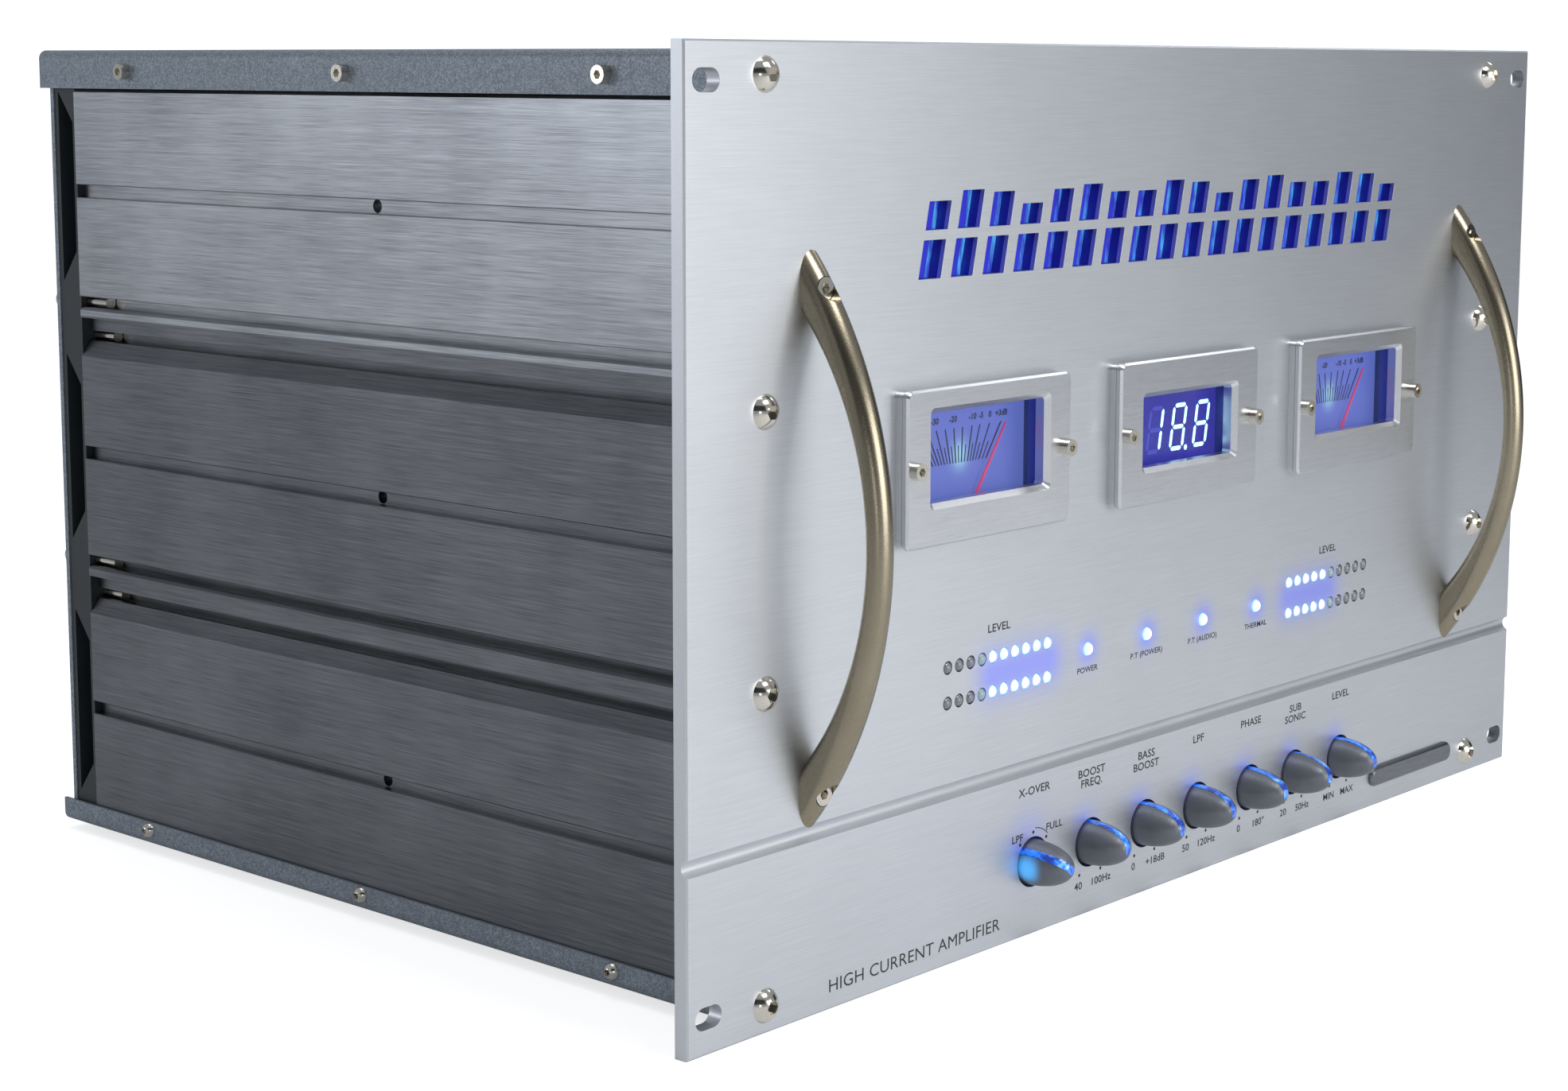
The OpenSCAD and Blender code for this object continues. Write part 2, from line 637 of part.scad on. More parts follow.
// Moulded end frames, with three-cornered webs, between the heatsinks and the rear panel
module rear_frame() {
    low = case_low + 0.1;
    high = case_high - 0.1;
    difference() {
        slab_y(sink_end + 0.1, rear_frame_end) polygon([
            [3.2 - case_half, low], [-case_half + sink_depth, low], [-case_half + sink_depth, high],
            [3.2 - case_half, high], [0.6 - case_half, high - 3], [0.6 - case_half, low + 3]]);
        for (i = [1 : 3]) slab_x(-case_half - cut, -case_half + 9)
            translate([sink_end + 2, case_high - i * module_h]) polygon([
                [0, 24], [rear_frame_end - sink_end - 4, 13], [rear_frame_end - sink_end - 4, 81], [0, 70]]);
        for (i = [1 : 3], v = frame_screw_spots)
            translate([-case_half + (v < 50 ? 4.8 : 7.4), 0, case_high - i * module_h + v])
                rod_y(2.1, sink_end, rear_face);
    }
}
module rear_frames() color("darkslategray") seat() pair() rear_frame();

// ---------- rear ----------

terminal_z = 52;
power_x = [-146, -118, -90, -62];
speaker_x = [62, 84, 106, 128];
jack_x = [-36, -18, 18, 36];
jack_z = 112;

module rear_panel() color("lightslategray") seat() difference() {
    slab_y(rear_face - rear_t, rear_face) difference() {
        polygon([
            [3 - case_half, case_low + 0.1], [case_half - 3, case_low + 0.1],
            [case_half - 0.2, case_low + 3], [case_half - 0.2, case_high - 3],
            [case_half - 3, case_high - 0.1], [3 - case_half, case_high - 0.1],
            [0.2 - case_half, case_high - 3], [0.2 - case_half, case_low + 3]]);
        for (x = fan_spots()) translate([x, fan_z]) circle(fan_size / 2 - 2.5);
        for (x = fan_spots(), a = [45 : 90 : 315])
            translate([x + 58.3 * cos(a), fan_z + 58.3 * sin(a)]) circle(2.1);
        for (x = jack_x) translate([x, jack_z]) circle(3.1);
        for (x = power_x) translate([x, terminal_z]) circle(4.1);
        for (x = speaker_x) translate([x, terminal_z]) circle(3.1);
        for (x = [-170 : 20 : 170]) translate([x, 268]) rounded(4, 12, 1.9);
    }
    for (side = [-1, 1], i = [1 : 3], v = frame_screw_spots)
        translate([side * (case_half - (v < 50 ? 4.8 : 7.4)), 0, case_high - i * module_h + v])
            rod_y(2.1, rear_face - 5, rear_face + cut);
}

fan_front = rear_face - rear_t - 25.1;
fan_back = rear_face - rear_t - 0.1;
hub_r = 17;

// Square ducts with a motor mount held by four struts
module fan_frames() color("dimgray") seat() for (x = fan_spots()) translate([x, 0, fan_z]) {
    difference() {
        slab_y(fan_front, fan_back) rounded(fan_size, fan_size, 5);
        rod_y(fan_size / 2 - 2.5, fan_front - cut, fan_back + cut);
        for (a = [45 : 90 : 315]) rotate([0, a, 0]) translate([58.3, 0, 0])
            rod_y(2.1, fan_front - cut, fan_back + cut);
    }
    rod_y(hub_r, fan_back - 3, fan_back);
    rod_y(1.5, fan_front + 3, fan_back - 2.9);
    for (a = [0 : 90 : 270]) rotate([0, a, 0])
        block([hub_r - 1, fan_back - 3, -2], [fan_size / 2 - 2, fan_back, 2]);
    // Finger guard: rings on a cross of wires
    for (r = [14, 24, 34]) translate([0, rear_face + 1.2, 0]) rotate([90, 0, 0]) rotate_extrude()
        translate([r, 0]) circle(0.8, $fn = 24);
    for (a = [45, 135]) rotate([0, a, 0]) translate([0, rear_face + 1.2, 0]) rod_x(0.8, -58.3, 58.3);
    for (a = [45 : 90 : 315]) rotate([0, a, 0]) translate([58.3, 0, 0]) rod_y(2, fan_back - 6, rear_face + 2);
}

// A cup that runs on the motor's spindle, with seven slanted blades
module fan_rotor() {
    difference() {
        rod_y(hub_r - 0.5, fan_front + 1, fan_back - 3.5);
        rod_y(hub_r - 2.5, fan_front + 3, fan_back);
    }
    difference() {
        rod_y(4, fan_front + 1, fan_back - 6);
        rod_y(1.55, fan_front + 2.8, fan_back);
    }
    intersection() {
        difference() {
            rod_y(fan_size / 2 - 4, fan_front + 1.5, fan_back - 4);
            rod_y(hub_r - 1.5, fan_front, fan_back);
        }
        for (i = [0 : 6]) rotate([0, i * 360 / 7, 0]) translate([0, (fan_front + fan_back) / 2, 0])
            rotate([38, 0, 0]) block([hub_r - 3, -13, -0.8], [fan_size / 2, 13, 0.8]);
    }
}
module fan_rotor_left() color("darkslategray") seat() translate([-fan_x, 0, fan_z]) fan_rotor();
module fan_rotor_right() color("darkslategray") seat() translate([fan_x, 0, fan_z]) fan_rotor();

terminal_back = rear_face + terminal_out;

// Insulating plates that carry the wire terminals
module terminal_bases() color("black") seat() difference() {
    slab_y(rear_face + 0.05, rear_face + 5) {
        translate([-104, terminal_z]) rounded(112, 30, 4);
        translate([95, terminal_z]) rounded(94, 26, 4);
    }
    for (x = power_x) translate([x, 0, terminal_z]) rod_y(4.1, rear_face - cut, rear_face + 6);
    for (x = speaker_x) translate([x, 0, terminal_z]) rod_y(3.1, rear_face - cut, rear_face + 6);
}

// A barrel with a bore for the wire, a tapped hole for its clamp screw and a stud through the panel
module wire_barrel(r, bore_r, stud_r) difference() {
    union() {
        rod_y(r, rear_face + 5.05, terminal_back);
        rod_y(stud_r, rear_face - 12, rear_face + 5.1);
    }
    rod_y(bore_r, rear_face + 6.5, terminal_back + cut);
    translate([0, terminal_back - 5, 0]) cylinder(r = 2.05, h = r + 2);
}
module wire_terminals() color("gold") seat() {
    for (x = power_x) translate([x, 0, terminal_z]) wire_barrel(9, power_bore_r, 4);
    for (x = speaker_x) translate([x, 0, terminal_z]) wire_barrel(6.5, speaker_bore_r, 3);
}

module clamp_screw(r, bore_r) translate([0, terminal_back - 5, bore_r]) difference() {
    cylinder(r = 2, h = r - bore_r + 0.4);
    translate([0, 0, r - bore_r - 1.4]) cylinder(r = 2 / sqrt(3), h = 3, $fn = 6);
}
module terminal_screws() color("lightyellow") seat() {
    for (x = power_x) translate([x, 0, terminal_z]) clamp_screw(9, power_bore_r);
    for (x = speaker_x) translate([x, 0, terminal_z]) clamp_screw(6.5, speaker_bore_r);
}

// Phono sockets: a threaded stem through the panel, a nut and a sleeve
module signal_jacks() color("gold") seat() for (x = jack_x) translate([x, 0, jack_z]) difference() {
    union() {
        rod_y(3, rear_face - 14, rear_face + 1);
        rod_y(4.15, rear_face + 1.6, rear_face + 10);
        translate([0, rear_face + 0.05, 0]) rotate([-90, 0, 0]) cylinder(r = 5.5, h = 2, $fn = 6);
        rod_y(5, rear_face - rear_t - 3, rear_face - rear_t - 0.05);
    }
    rod_y(1.6, rear_face + 2, rear_face + 11);
}

// ---------- inside ----------

board_low = [-174, 60];
board_high = [174, 300];
standoff_x = [-150, 0, 150];
standoff_y = [74, 286];

module amplifier_board() color("darkgreen") seat() difference() {
    block([board_low[0], board_low[1], board_z], [board_high[0], board_high[1], board_z + board_t]);
    for (x = standoff_x, y = standoff_y) translate([x, y, board_z - cut]) cylinder(r = 1.6, h = 4);
}

module board_standoffs() color("khaki") seat()
    for (x = standoff_x, y = standoff_y) translate([x, y, case_low + 0.05]) {
    cylinder(r = 3.2, h = board_z - case_low - 0.1, $fn = 6);
    cylinder(r = 1.5, h = board_z - case_low + 4);
}

board_top = board_z + board_t + 0.05;

// Wound rings of the power converter
module toroids() color("peru") seat() for (i = [0 : 3]) translate([-105 + i * 70, 115, board_top + 17])
    rotate_extrude() translate([21, 0]) rounded(18, 34, 6);

module capacitors() color("black") seat() for (i = [0 : 7], j = [0 : 1])
    translate([-126 + i * 36, 190 + j * 40, board_top]) cylinder(r = 15, h = 50);

// Power transistors against the heatsinks' pads, each with three legs bent over to the board
leg_top = 41.1;
leg_bend = 35.6;
module leg_outline() polygon([
    [2, leg_top], [2, leg_bend], [24.6, leg_bend], [24.6, board_top], [25.4, board_top],
                              [25.4, leg_bend + 0.8], [2.8, leg_bend + 0.8], [2.8, leg_top]]);
module power_transistors() color("dimgray") seat() pair() for (i = [0 : 9])
    translate([-case_half + fin_root + 5.1, 78 + i * 22, 0]) {
        block([0, -8, leg_top - 0.1], [5, 8, leg_top + 19]);
        for (leg = [-5.4, 0, 5.4]) translate([0, leg, 0]) slab_y(-0.6, 0.6) leg_outline();
    }

front_panel();
front_rails();
handle_left();
handle_right();
handle_screws();
panel_screws();
meter_bezel_left();
display_bezel();
meter_bezel_right();
bezel_screws();
clear_windows();
meter_housings();
meter_dials();
meter_movements();
meter_needle_left();
meter_needle_right();
display_module();
light_panel();
level_leds();
indicator_leds();
led_board();
control_board();
potentiometers();
knob_crossover();
knob_boost_freq();
knob_bass_boost();
knob_low_pass();
knob_phase();
knob_subsonic();
knob_level();
core_crossover();
core_boost_freq();
core_bass_boost();
core_low_pass();
core_phase();
core_subsonic();
core_level();
badge();
top_cover();
bottom_cover();
top_cover_screws();
bottom_cover_screws();
heatsinks_left();
heatsinks_right();
slot_nuts();
frame_screws();
rear_frames();
rear_panel();
fan_frames();
fan_rotor_left();
fan_rotor_right();
terminal_bases();
wire_terminals();
terminal_screws();
signal_jacks();
amplifier_board();
board_standoffs();
toroids();
capacitors();
power_transistors();
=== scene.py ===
# %% [markdown]
# # A rack-width car amplifier
# The real object is a silver box for the boot of a car: a thick front plate with meters, lamps
# and knobs, ribbed heatsinks for its two sides, painted covers above and below, and fans at the
# back. The parts' shapes come from an engineering model that is already the right size, so this
# lesson is about what turns plain shapes into metal, glass, ink and light.

# %% Load the engineering model
import json
import math

import bmesh
import bpy
import numpy as np
from mathutils import Matrix, Vector


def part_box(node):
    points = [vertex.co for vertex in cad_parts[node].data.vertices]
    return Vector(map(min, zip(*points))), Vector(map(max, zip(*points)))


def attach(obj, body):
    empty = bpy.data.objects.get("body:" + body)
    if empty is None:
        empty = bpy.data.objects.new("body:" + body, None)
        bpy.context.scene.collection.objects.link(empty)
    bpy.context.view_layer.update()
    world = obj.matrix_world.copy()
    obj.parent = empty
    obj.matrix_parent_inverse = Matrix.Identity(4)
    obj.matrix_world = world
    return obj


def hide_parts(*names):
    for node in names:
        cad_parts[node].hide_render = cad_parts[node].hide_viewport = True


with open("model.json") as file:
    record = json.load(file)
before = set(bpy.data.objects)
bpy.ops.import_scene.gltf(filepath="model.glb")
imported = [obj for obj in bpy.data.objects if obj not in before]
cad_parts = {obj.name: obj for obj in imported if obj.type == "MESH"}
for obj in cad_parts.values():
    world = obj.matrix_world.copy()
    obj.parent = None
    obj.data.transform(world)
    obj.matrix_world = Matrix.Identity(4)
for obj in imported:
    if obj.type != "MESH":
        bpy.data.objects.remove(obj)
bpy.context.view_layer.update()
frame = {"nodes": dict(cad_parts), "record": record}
nodes = frame["nodes"]
MM = 0.001
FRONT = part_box("front_panel")[0].y
print(len(nodes), "engineering parts, panel face at y =", round(FRONT, 4))

# %% [markdown]
# ## The camera
# A product picture is framed from a little above, left of the panel, with a long lens and the
# lens shifted a little, so upright edges stay almost upright. Three unit vectors say which way
# is right, up and forward; Blender's camera looks along its own minus Z.

# %% Camera
right = Vector((0.66005, -0.75121, 0.00333))
up = Vector((0.10018, 0.09241, 0.99067))
forward = Vector((0.74451, 0.65356, -0.13625))
camera_data = bpy.data.cameras.new("camera")
camera_data.lens = 64.26
camera_data.sensor_width = 36
camera_data.shift_x = -0.02965
camera_data.shift_y = -0.0585
camera_data.clip_start = 0.01
camera = bpy.data.objects.new("camera", camera_data)
bpy.context.scene.collection.objects.link(camera)
turn = Matrix((right, up, -forward)).transposed().to_4x4()
camera.matrix_world = Matrix.Translation((-0.79074, -0.53579 + FRONT, 0.28088)) @ turn
bpy.context.scene.camera = camera
print("camera stands", round(camera.location.length, 3), "m from the middle of the floor")

# %% [markdown]
# ## Shader arithmetic
# A material is a graph of nodes, and long graphs are hard to read. A small class that wraps one
# output socket lets the graph be written as arithmetic: adding two wires adds a Math node. One
# more method makes any other node from its type, its settings and what goes into it.

# %% A wire and a finish
class Wire:
    """One number or colour on its way through a material."""

    def __init__(self, finish, socket):
        self.finish, self.socket = finish, socket

    def math(self, operation, *others, swap=False):
        values = (self,) + others
        values = values[::-1] if swap else values
        return self.finish.node("Math", {"operation": operation}, dict(enumerate(values)))

    def __add__(self, other): return self.math("ADD", other)
    def __radd__(self, other): return self.math("ADD", other)
    def __sub__(self, other): return self.math("SUBTRACT", other)
    def __rsub__(self, other): return self.math("SUBTRACT", other, swap=True)
    def __mul__(self, other): return self.math("MULTIPLY", other)
    def __rmul__(self, other): return self.math("MULTIPLY", other)
    def __truediv__(self, other): return self.math("DIVIDE", other)
    def __gt__(self, other): return self.math("GREATER_THAN", other)
    def __lt__(self, other): return self.math("LESS_THAN", other)
    def __neg__(self): return self.math("MULTIPLY", -1.0)
    def __abs__(self): return self.math("ABSOLUTE")
    def least(self, other): return self.math("MINIMUM", other)
    def most(self, other): return self.math("MAXIMUM", other)
    def root(self): return self.math("SQRT")
    def fraction(self): return self.math("FRACT")
    def fade(self): return (-self).math("EXPONENT")

    def step(self, low, high):
        """0 below low, 1 above high, a smooth rise between."""
        return self.finish.node("MapRange", {"interpolation_type": "SMOOTHSTEP"},
                                {"Value": self, "From Min": low, "From Max": high})


class Finish:
    """A material under construction: constants go on its Principled shader, patterns come in by wire."""

    def __init__(self, name, colour, **constants):
        self.material = bpy.data.materials.new(name)
        self.material.use_nodes = True
        self.tree = self.material.node_tree
        self.shader = self.tree.nodes["Principled BSDF"]
        self.material.diffuse_color = (*colour, 1)
        self.feed("Base Color", (*colour, 1))
        for socket, value in constants.items():
            self.feed(socket.replace("_", " ").title().replace("Ior", "IOR"), value)

    def node(self, kind, settings=None, values=None, out=0):
        """Any node: settings are set first, then each input takes a number, a colour or a wire."""
        made = self.tree.nodes.new("ShaderNode" + kind)
        for key, value in (settings or {}).items():
            setattr(made, key, value)
        for key, value in (values or {}).items():
            self.plug(value, made.inputs[key])
        return Wire(self, made.outputs[out])

    def plug(self, value, socket):
        if isinstance(value, Wire):
            self.tree.links.new(value.socket, socket)
        else:
            socket.default_value = value

    def feed(self, socket, value):
        self.plug(value, self.shader.inputs[socket])

    def place(self):
        """Object coordinates, in metres, as one vector wire."""
        return self.node("TexCoord", out="Object")

    def axes(self):
        """The three object coordinates, in millimetres, with y counted from the panel's face."""
        made = self.node("SeparateXYZ", values={0: self.place()}).socket.node
        x, y, z = (Wire(self, socket) for socket in made.outputs)
        return x / MM, (y - FRONT) / MM, z / MM

    def noise(self, scale, detail=3.0, roughness=0.6, stretch=(1, 1, 1)):
        """Cloudy numbers round 0.5, with features of about 1/scale metres, drawn out by stretch."""
        spot = self.node("Mapping", values={"Vector": self.place(), "Scale": stretch})
        return self.node("TexNoise", values={"Vector": spot, "Scale": scale, "Detail": detail,
                                             "Roughness": roughness})

    def mix(self, amount, first, second):
        """A colour between two colours."""
        made = self.tree.nodes.new("ShaderNodeMix")
        made.data_type = "RGBA"
        for socket, value in ((0, amount), (6, first), (7, second)):
            bare = isinstance(value, tuple) and len(value) == 3
            self.plug((*value, 1) if bare else value, made.inputs[socket])
        return Wire(self, made.outputs[2])

    def tinted(self, amount, colour):
        """A colour scaled by a wire of numbers."""
        return self.mix(amount, (0.0, 0.0, 0.0), colour)

    def bumps(self, height, distance, strength=1.0):
        bump = {"Height": height, "Distance": distance, "Strength": strength}
        self.feed("Normal", self.node("Bump", values=bump))


print("shader helpers ready")

# %% [markdown]
# ## Bead-blasted, anodised front plate
# The plate is aluminium, blasted to a fine even grain and anodised silver. Grain this fine shows
# as sparkle and a soft, wide highlight, so it is a tiny noise in the bump, with a trace of
# drawing lines along the plate. The blue light each lit lamp and knob throws on the metal near it
# is painted light, put into the plate's colour and emission. It is worked out from distances: it
# fades with the square of the distance to a lit row. The walls of the cut-out and the windows,
# inside the plate, are painted a deep blue: painted shade, tinted by the blue light behind them.

# %% Front plate finish
LAMP_ROWS = (96.2, 84.9)
LAMP_PITCH = 5.75
LIT_SPANS = ((-87.3, 14.4), (85.8, 12.9))  # middle and half-length of each group's lit part
LIT_Z = 90.5
INDICATORS = (-50.85, -16.95, 16.95, 50.85)
INDICATOR_PITCH = 33.9
INDICATOR_Z = 90.8
METER_X = 109.8
KNOBS_X = (-79.4, -47.7, -16.0, 15.7, 49.3, 79.1, 110.8)
KNOB_Z = 24.4


def painted_glow_falloff(x, z, middle, half, height, reach):
    """Painted glow: 1 on a level lit line of that middle, half-length and height, fading over reach
    millimetres.
    """
    across = (abs(x - middle) - half).most(0.0)
    drop = z - height
    return ((across * across + drop * drop) / (reach * reach)).fade()


plate = Finish("plate_silver", (0.64, 0.66, 0.69), metallic=1.0, roughness=0.42)
x, y, z = plate.axes()
# Painted light: blue glow near the lit lamps and knobs, put into the plate's colour and emission.
glow = painted_glow_falloff(x, z, *LIT_SPANS[0], LIT_Z, 8.0) + painted_glow_falloff(x, z, *LIT_SPANS[1], LIT_Z, 8.0)
for spot in INDICATORS:
    glow = glow + painted_glow_falloff(x, z, spot, 0.0, INDICATOR_Z, 5.5)
for spot, reach in zip(KNOBS_X, (9.0, 6.0, 6.0, 6.0, 6.0, 6.0, 6.0)):
    glow = glow + 0.55 * painted_glow_falloff(x, z, spot - 3.5, 0.0, KNOB_Z + 7.5, reach)
glow = glow.least(1.0) * (y < 5.5)
grain = plate.noise(5200, 2.0)
lines = plate.noise(3600, 3.0, stretch=(0.012, 1, 1))
cloud = plate.noise(9, 3.0)
tone = plate.mix((cloud * 0.35 + lines * 0.65).step(0.3, 0.7), (0.58, 0.60, 0.63), (0.66, 0.68, 0.71))
# Painted shade: the walls inside the windows and the cut-out are painted deep blue, as if shaded and lit blue
# from behind.
inside = (y > 1.6) * (y < 5.2) * (abs(x) < 160.0) * (z > 120.0) * (z < 280.0)
tone = plate.mix(inside * 0.9, tone, (0.03, 0.04, 0.34))
plate.feed("Base Color", plate.mix(glow * 0.6, tone, (0.24, 0.28, 0.92)))
plate.feed("Roughness", 0.36 + grain * 0.08 + lines * 0.05)
plate.feed("Emission Color", plate.tinted(glow, (0.05, 0.09, 0.85, 1)))
plate.feed("Emission Strength", 0.24)
plate.bumps(grain * 0.7 + lines * 0.3, 0.00003, 0.5)
print("front plate:", len(plate.tree.nodes), "nodes")

# %% [markdown]
# ## Brushed heatsinks, painted covers, satin handles
# Extruded aluminium carries lines along its length, here front to back, and its broad planks are
# brushed the same way. Stretching a noise along one axis gives such lines. The covers are steel
# with a fine two-tone speckle. The handles are anodised a warm champagne, satin and without lines.

# %% Metal finishes
TOP_MODULE_Z = 192.3
PAINTED_SHADE = 0.46


def brushed(name, dark, light, along, rough, depth=0.00003, shade_below=None):
    """Metal with hairlines: a noise drawn out along one axis, in colour, roughness and bump.
    Below a given height the metal is darker: painted shade, for the darker reflections on the lower
    heatsinks."""
    made = Finish(name, light, metallic=1.0)
    fine = made.noise(4200, 3.0, stretch=along)
    broad = made.noise(1300, 3.0, stretch=along)
    patches = made.noise(14, 3.0)
    tone = made.mix((fine * 0.5 + broad * 0.25 + patches * 0.3).step(0.3, 0.75), dark, light)
    # Painted shade: below the given height the colour is scaled darker.
    if shade_below:
        below = made.axes()[2] < shade_below
        tone = made.mix(below, tone, made.tinted(PAINTED_SHADE, tone))
    made.feed("Base Color", tone)
    made.feed("Roughness", rough - 0.05 + fine * 0.12 + patches * 0.06)
    made.bumps(fine * 0.6 + broad * 0.4, depth, 0.6)
    return made


# The heatsinks below the top module get painted shade in their colour.
heatsink = brushed("brushed_heatsink", (0.20, 0.21, 0.23), (0.50, 0.52, 0.55), (1, 0.012, 1),
                   0.32, shade_below=TOP_MODULE_Z)
bezel = brushed("bezel_silver", (0.62, 0.63, 0.65), (0.74, 0.75, 0.77), (0.03, 1, 1), 0.26, 0.00002)
badge = brushed("dark_badge", (0.13, 0.135, 0.15), (0.27, 0.28, 0.30), (0.03, 1, 1), 0.2)
steel = brushed("plain_steel", (0.40, 0.40, 0.41), (0.55, 0.55, 0.56), (1, 1, 0.1), 0.32)

handle = Finish("champagne_satin", (0.42, 0.37, 0.28), metallic=1.0)
satin = handle.noise(3800, 2.0)
worn = handle.noise(60, 4.0)
handle.feed("Base Color", handle.mix(worn, (0.27, 0.235, 0.165), (0.36, 0.315, 0.235)))
handle.feed("Roughness", 0.22 + satin * 0.1)
handle.bumps(satin, 0.00003, 0.5)

cover = Finish("speckled_paint", (0.17, 0.185, 0.215), metallic=0.35)
speckle = cover.noise(2400, 1.0)
mottle = cover.noise(700, 3.0)
flecks = (speckle * 0.7 + mottle * 0.3).step(0.42, 0.62)
cover.feed("Base Color", cover.mix(flecks, (0.165, 0.19, 0.225), (0.33, 0.375, 0.425)))
cover.feed("Roughness", 0.40 + speckle * 0.14)
cover.bumps(speckle, 0.00006, 0.7)

nickel = Finish("polished_nickel", (0.70, 0.66, 0.58), metallic=1.0)
smear = nickel.noise(500, 3.0)
nickel.feed("Base Color", nickel.mix(smear, (0.62, 0.585, 0.51), (0.76, 0.72, 0.64)))
nickel.feed("Roughness", 0.10 + smear * 0.10)

gold = Finish("gold_plate", (0.78, 0.56, 0.22), metallic=1.0)
smear = gold.noise(400, 3.0)
gold.feed("Base Color", gold.mix(smear, (0.70, 0.49, 0.18), (0.83, 0.62, 0.27)))
gold.feed("Roughness", 0.14 + smear * 0.12)
print("metals ready")

# %% [markdown]
# ## Plastics, boards and windings
# The knobs are soft grey plastic, the frames and fans black plastic with a fine grain. Boards are
# green lacquer over copper. Grain goes in the bump and a slow cloud in the roughness, because a
# moulded surface never shines evenly.

# %% Plastic finishes
def moulded(name, dark, light, rough, grain_size=2600.0, depth=0.00005, **constants):
    """Plastic with a fine moulded grain and slightly uneven shine."""
    made = Finish(name, light, **constants)
    grain = made.noise(grain_size, 2.0)
    cloud = made.noise(45, 3.0)
    made.feed("Base Color", made.mix(cloud * 0.6 + grain * 0.4, dark, light))
    made.feed("Roughness", rough + cloud * 0.08 + grain * 0.06)
    made.bumps(grain, depth, 0.7)
    return made


knob = moulded("knob_grey", (0.13, 0.14, 0.16), (0.19, 0.20, 0.225), 0.34, depth=0.00003, metallic=0.5)
x, y, z = knob.axes()
# Painted light: a blue glow in the emission on the first knob's left flank, near its base.
aside, ahead, rise = x - KNOBS_X[0] + 7.0, y + 3.0, z - KNOB_Z + 0.5
painted_spill = ((aside * aside / 14.0) + (ahead * ahead / 22.0) + (rise * rise / 26.0)).fade()
knob.feed("Emission Color", knob.mix(painted_spill.step(0.15, 1.0), (0.0, 0.0, 0.0), (0.04, 0.42, 1.0)))
knob.feed("Emission Strength", 0.9)
black = moulded("black_plastic", (0.012, 0.017, 0.020), (0.030, 0.040, 0.045), 0.42)
sleeve = moulded("black_sleeve", (0.010, 0.010, 0.012), (0.022, 0.022, 0.026), 0.22, 900.0)
board = moulded("board_green", (0.006, 0.045, 0.018), (0.015, 0.085, 0.035), 0.25, 600.0)
can = moulded("dial_can_blue", (0.010, 0.012, 0.11), (0.016, 0.022, 0.20), 0.18, 700.0)

copper = Finish("copper_winding", (0.45, 0.17, 0.05), metallic=0.8, roughness=0.3)
wraps = copper.noise(900, 2.0, stretch=(1, 1, 0.05))
copper.feed("Base Color", copper.mix(wraps.step(0.4, 0.6), (0.24, 0.08, 0.025), (0.56, 0.24, 0.08)))
copper.bumps(wraps, 0.0003, 1.0)
print("plastics ready")

# %% [markdown]
# ## Things that shine
# Lamps, the clear knob stripes, the dial light and the blue panel behind the cut-out all glow.
# Each is one shape, so which lamp is lit, and where a dial is brightest, comes from object
# coordinates: a distance to the nearest lamp's axis gives its round bright core.

# %% Lamps
FIRST_LAMP_X = 72.925
lamp = Finish("lamp_clear", (0.55, 0.60, 0.66), roughness=0.08, coat_weight=0.6)
x, y, z = lamp.axes()
sideways = abs((abs(x) - FIRST_LAMP_X) / LAMP_PITCH + 0.5)
near = (sideways.fraction() - 0.5) * LAMP_PITCH
rise = abs(z - LAMP_ROWS[0]).least(abs(z - LAMP_ROWS[1]))
out = (near * near + rise * rise).root()
core = 1.0 - out.step(1.4, 2.2)
lit = (x > -104.6) * (x < 98.7)
half_lit = ((x > -110.0) * (x < -104.6)).most((x > 98.7) * (x < 104.5)) * 0.16
level = (lit + half_lit) * (0.35 + core * 0.65)
lamp.feed("Base Color", lamp.mix(lit, (0.20, 0.21, 0.23), (0.55, 0.75, 0.85)))
lamp.feed("Emission Color", lamp.tinted(level, (0.44, 0.86, 0.92, 1)))
lamp.feed("Emission Strength", 1.5)

indicator = Finish("indicator_clear", (0.5, 0.8, 0.9), roughness=0.1, coat_weight=0.6)
x, y, z = indicator.axes()
sideways = abs((x - INDICATORS[0]) / INDICATOR_PITCH + 0.5)
near = (sideways.fraction() - 0.5) * INDICATOR_PITCH
rise = z - INDICATOR_Z
core = 1.0 - (near * near + rise * rise).root().step(0.9, 2.3)
indicator.feed("Emission Color", indicator.mix(core, (0.10, 0.32, 1.0), (0.75, 1.0, 1.0)))
indicator.feed("Emission Strength", 2.2)
print("lamps ready")

# %% Dial light, display and cut-out light
dial = Finish("dial_light", (0.07, 0.08, 0.24), roughness=0.45)
x, y, z = dial.axes()
aside = abs(abs(x) - METER_X)
rise = z - 161.0
spot = ((aside * aside + rise * rise * 0.8) / 14.0).fade()
pale = ((z - 146.0) / 36.0).least(1.0).most(0.0)
wash = dial.mix(pale, (0.115, 0.155, 0.50), (0.13, 0.18, 0.62))
dial.feed("Emission Color", dial.mix(spot * 0.9, wash, (0.50, 0.95, 1.0)))
dial.feed("Emission Strength", 0.72)

screen = Finish("display_dark", (0.010, 0.008, 0.10), roughness=0.25)
cloud = screen.noise(90, 2.0)
screen.feed("Emission Color", screen.mix(cloud, (0.018, 0.010, 0.26), (0.035, 0.020, 0.38)))
screen.feed("Emission Strength", 0.8)

inlay = Finish("blue_acrylic", (0.02, 0.03, 0.35), roughness=0.08, coat_weight=0.5)
x, y, z = inlay.axes()
phase = ((x - 0.22 * z + 1000.0) / 15.56).fraction()
facet = phase.step(0.70, 0.74) * (1.0 - phase.step(0.93, 0.97))
glint = inlay.noise(300, 3.0, stretch=(1, 1, 0.25))
cloud = inlay.noise(25, 2.0)
deep = inlay.mix(cloud, (0.022, 0.014, 0.30), (0.040, 0.045, 0.50))
inlay.feed("Emission Color", inlay.mix(facet * glint.step(0.35, 0.75), deep, (0.10, 0.55, 0.95)))
inlay.feed("Emission Strength", 0.85)

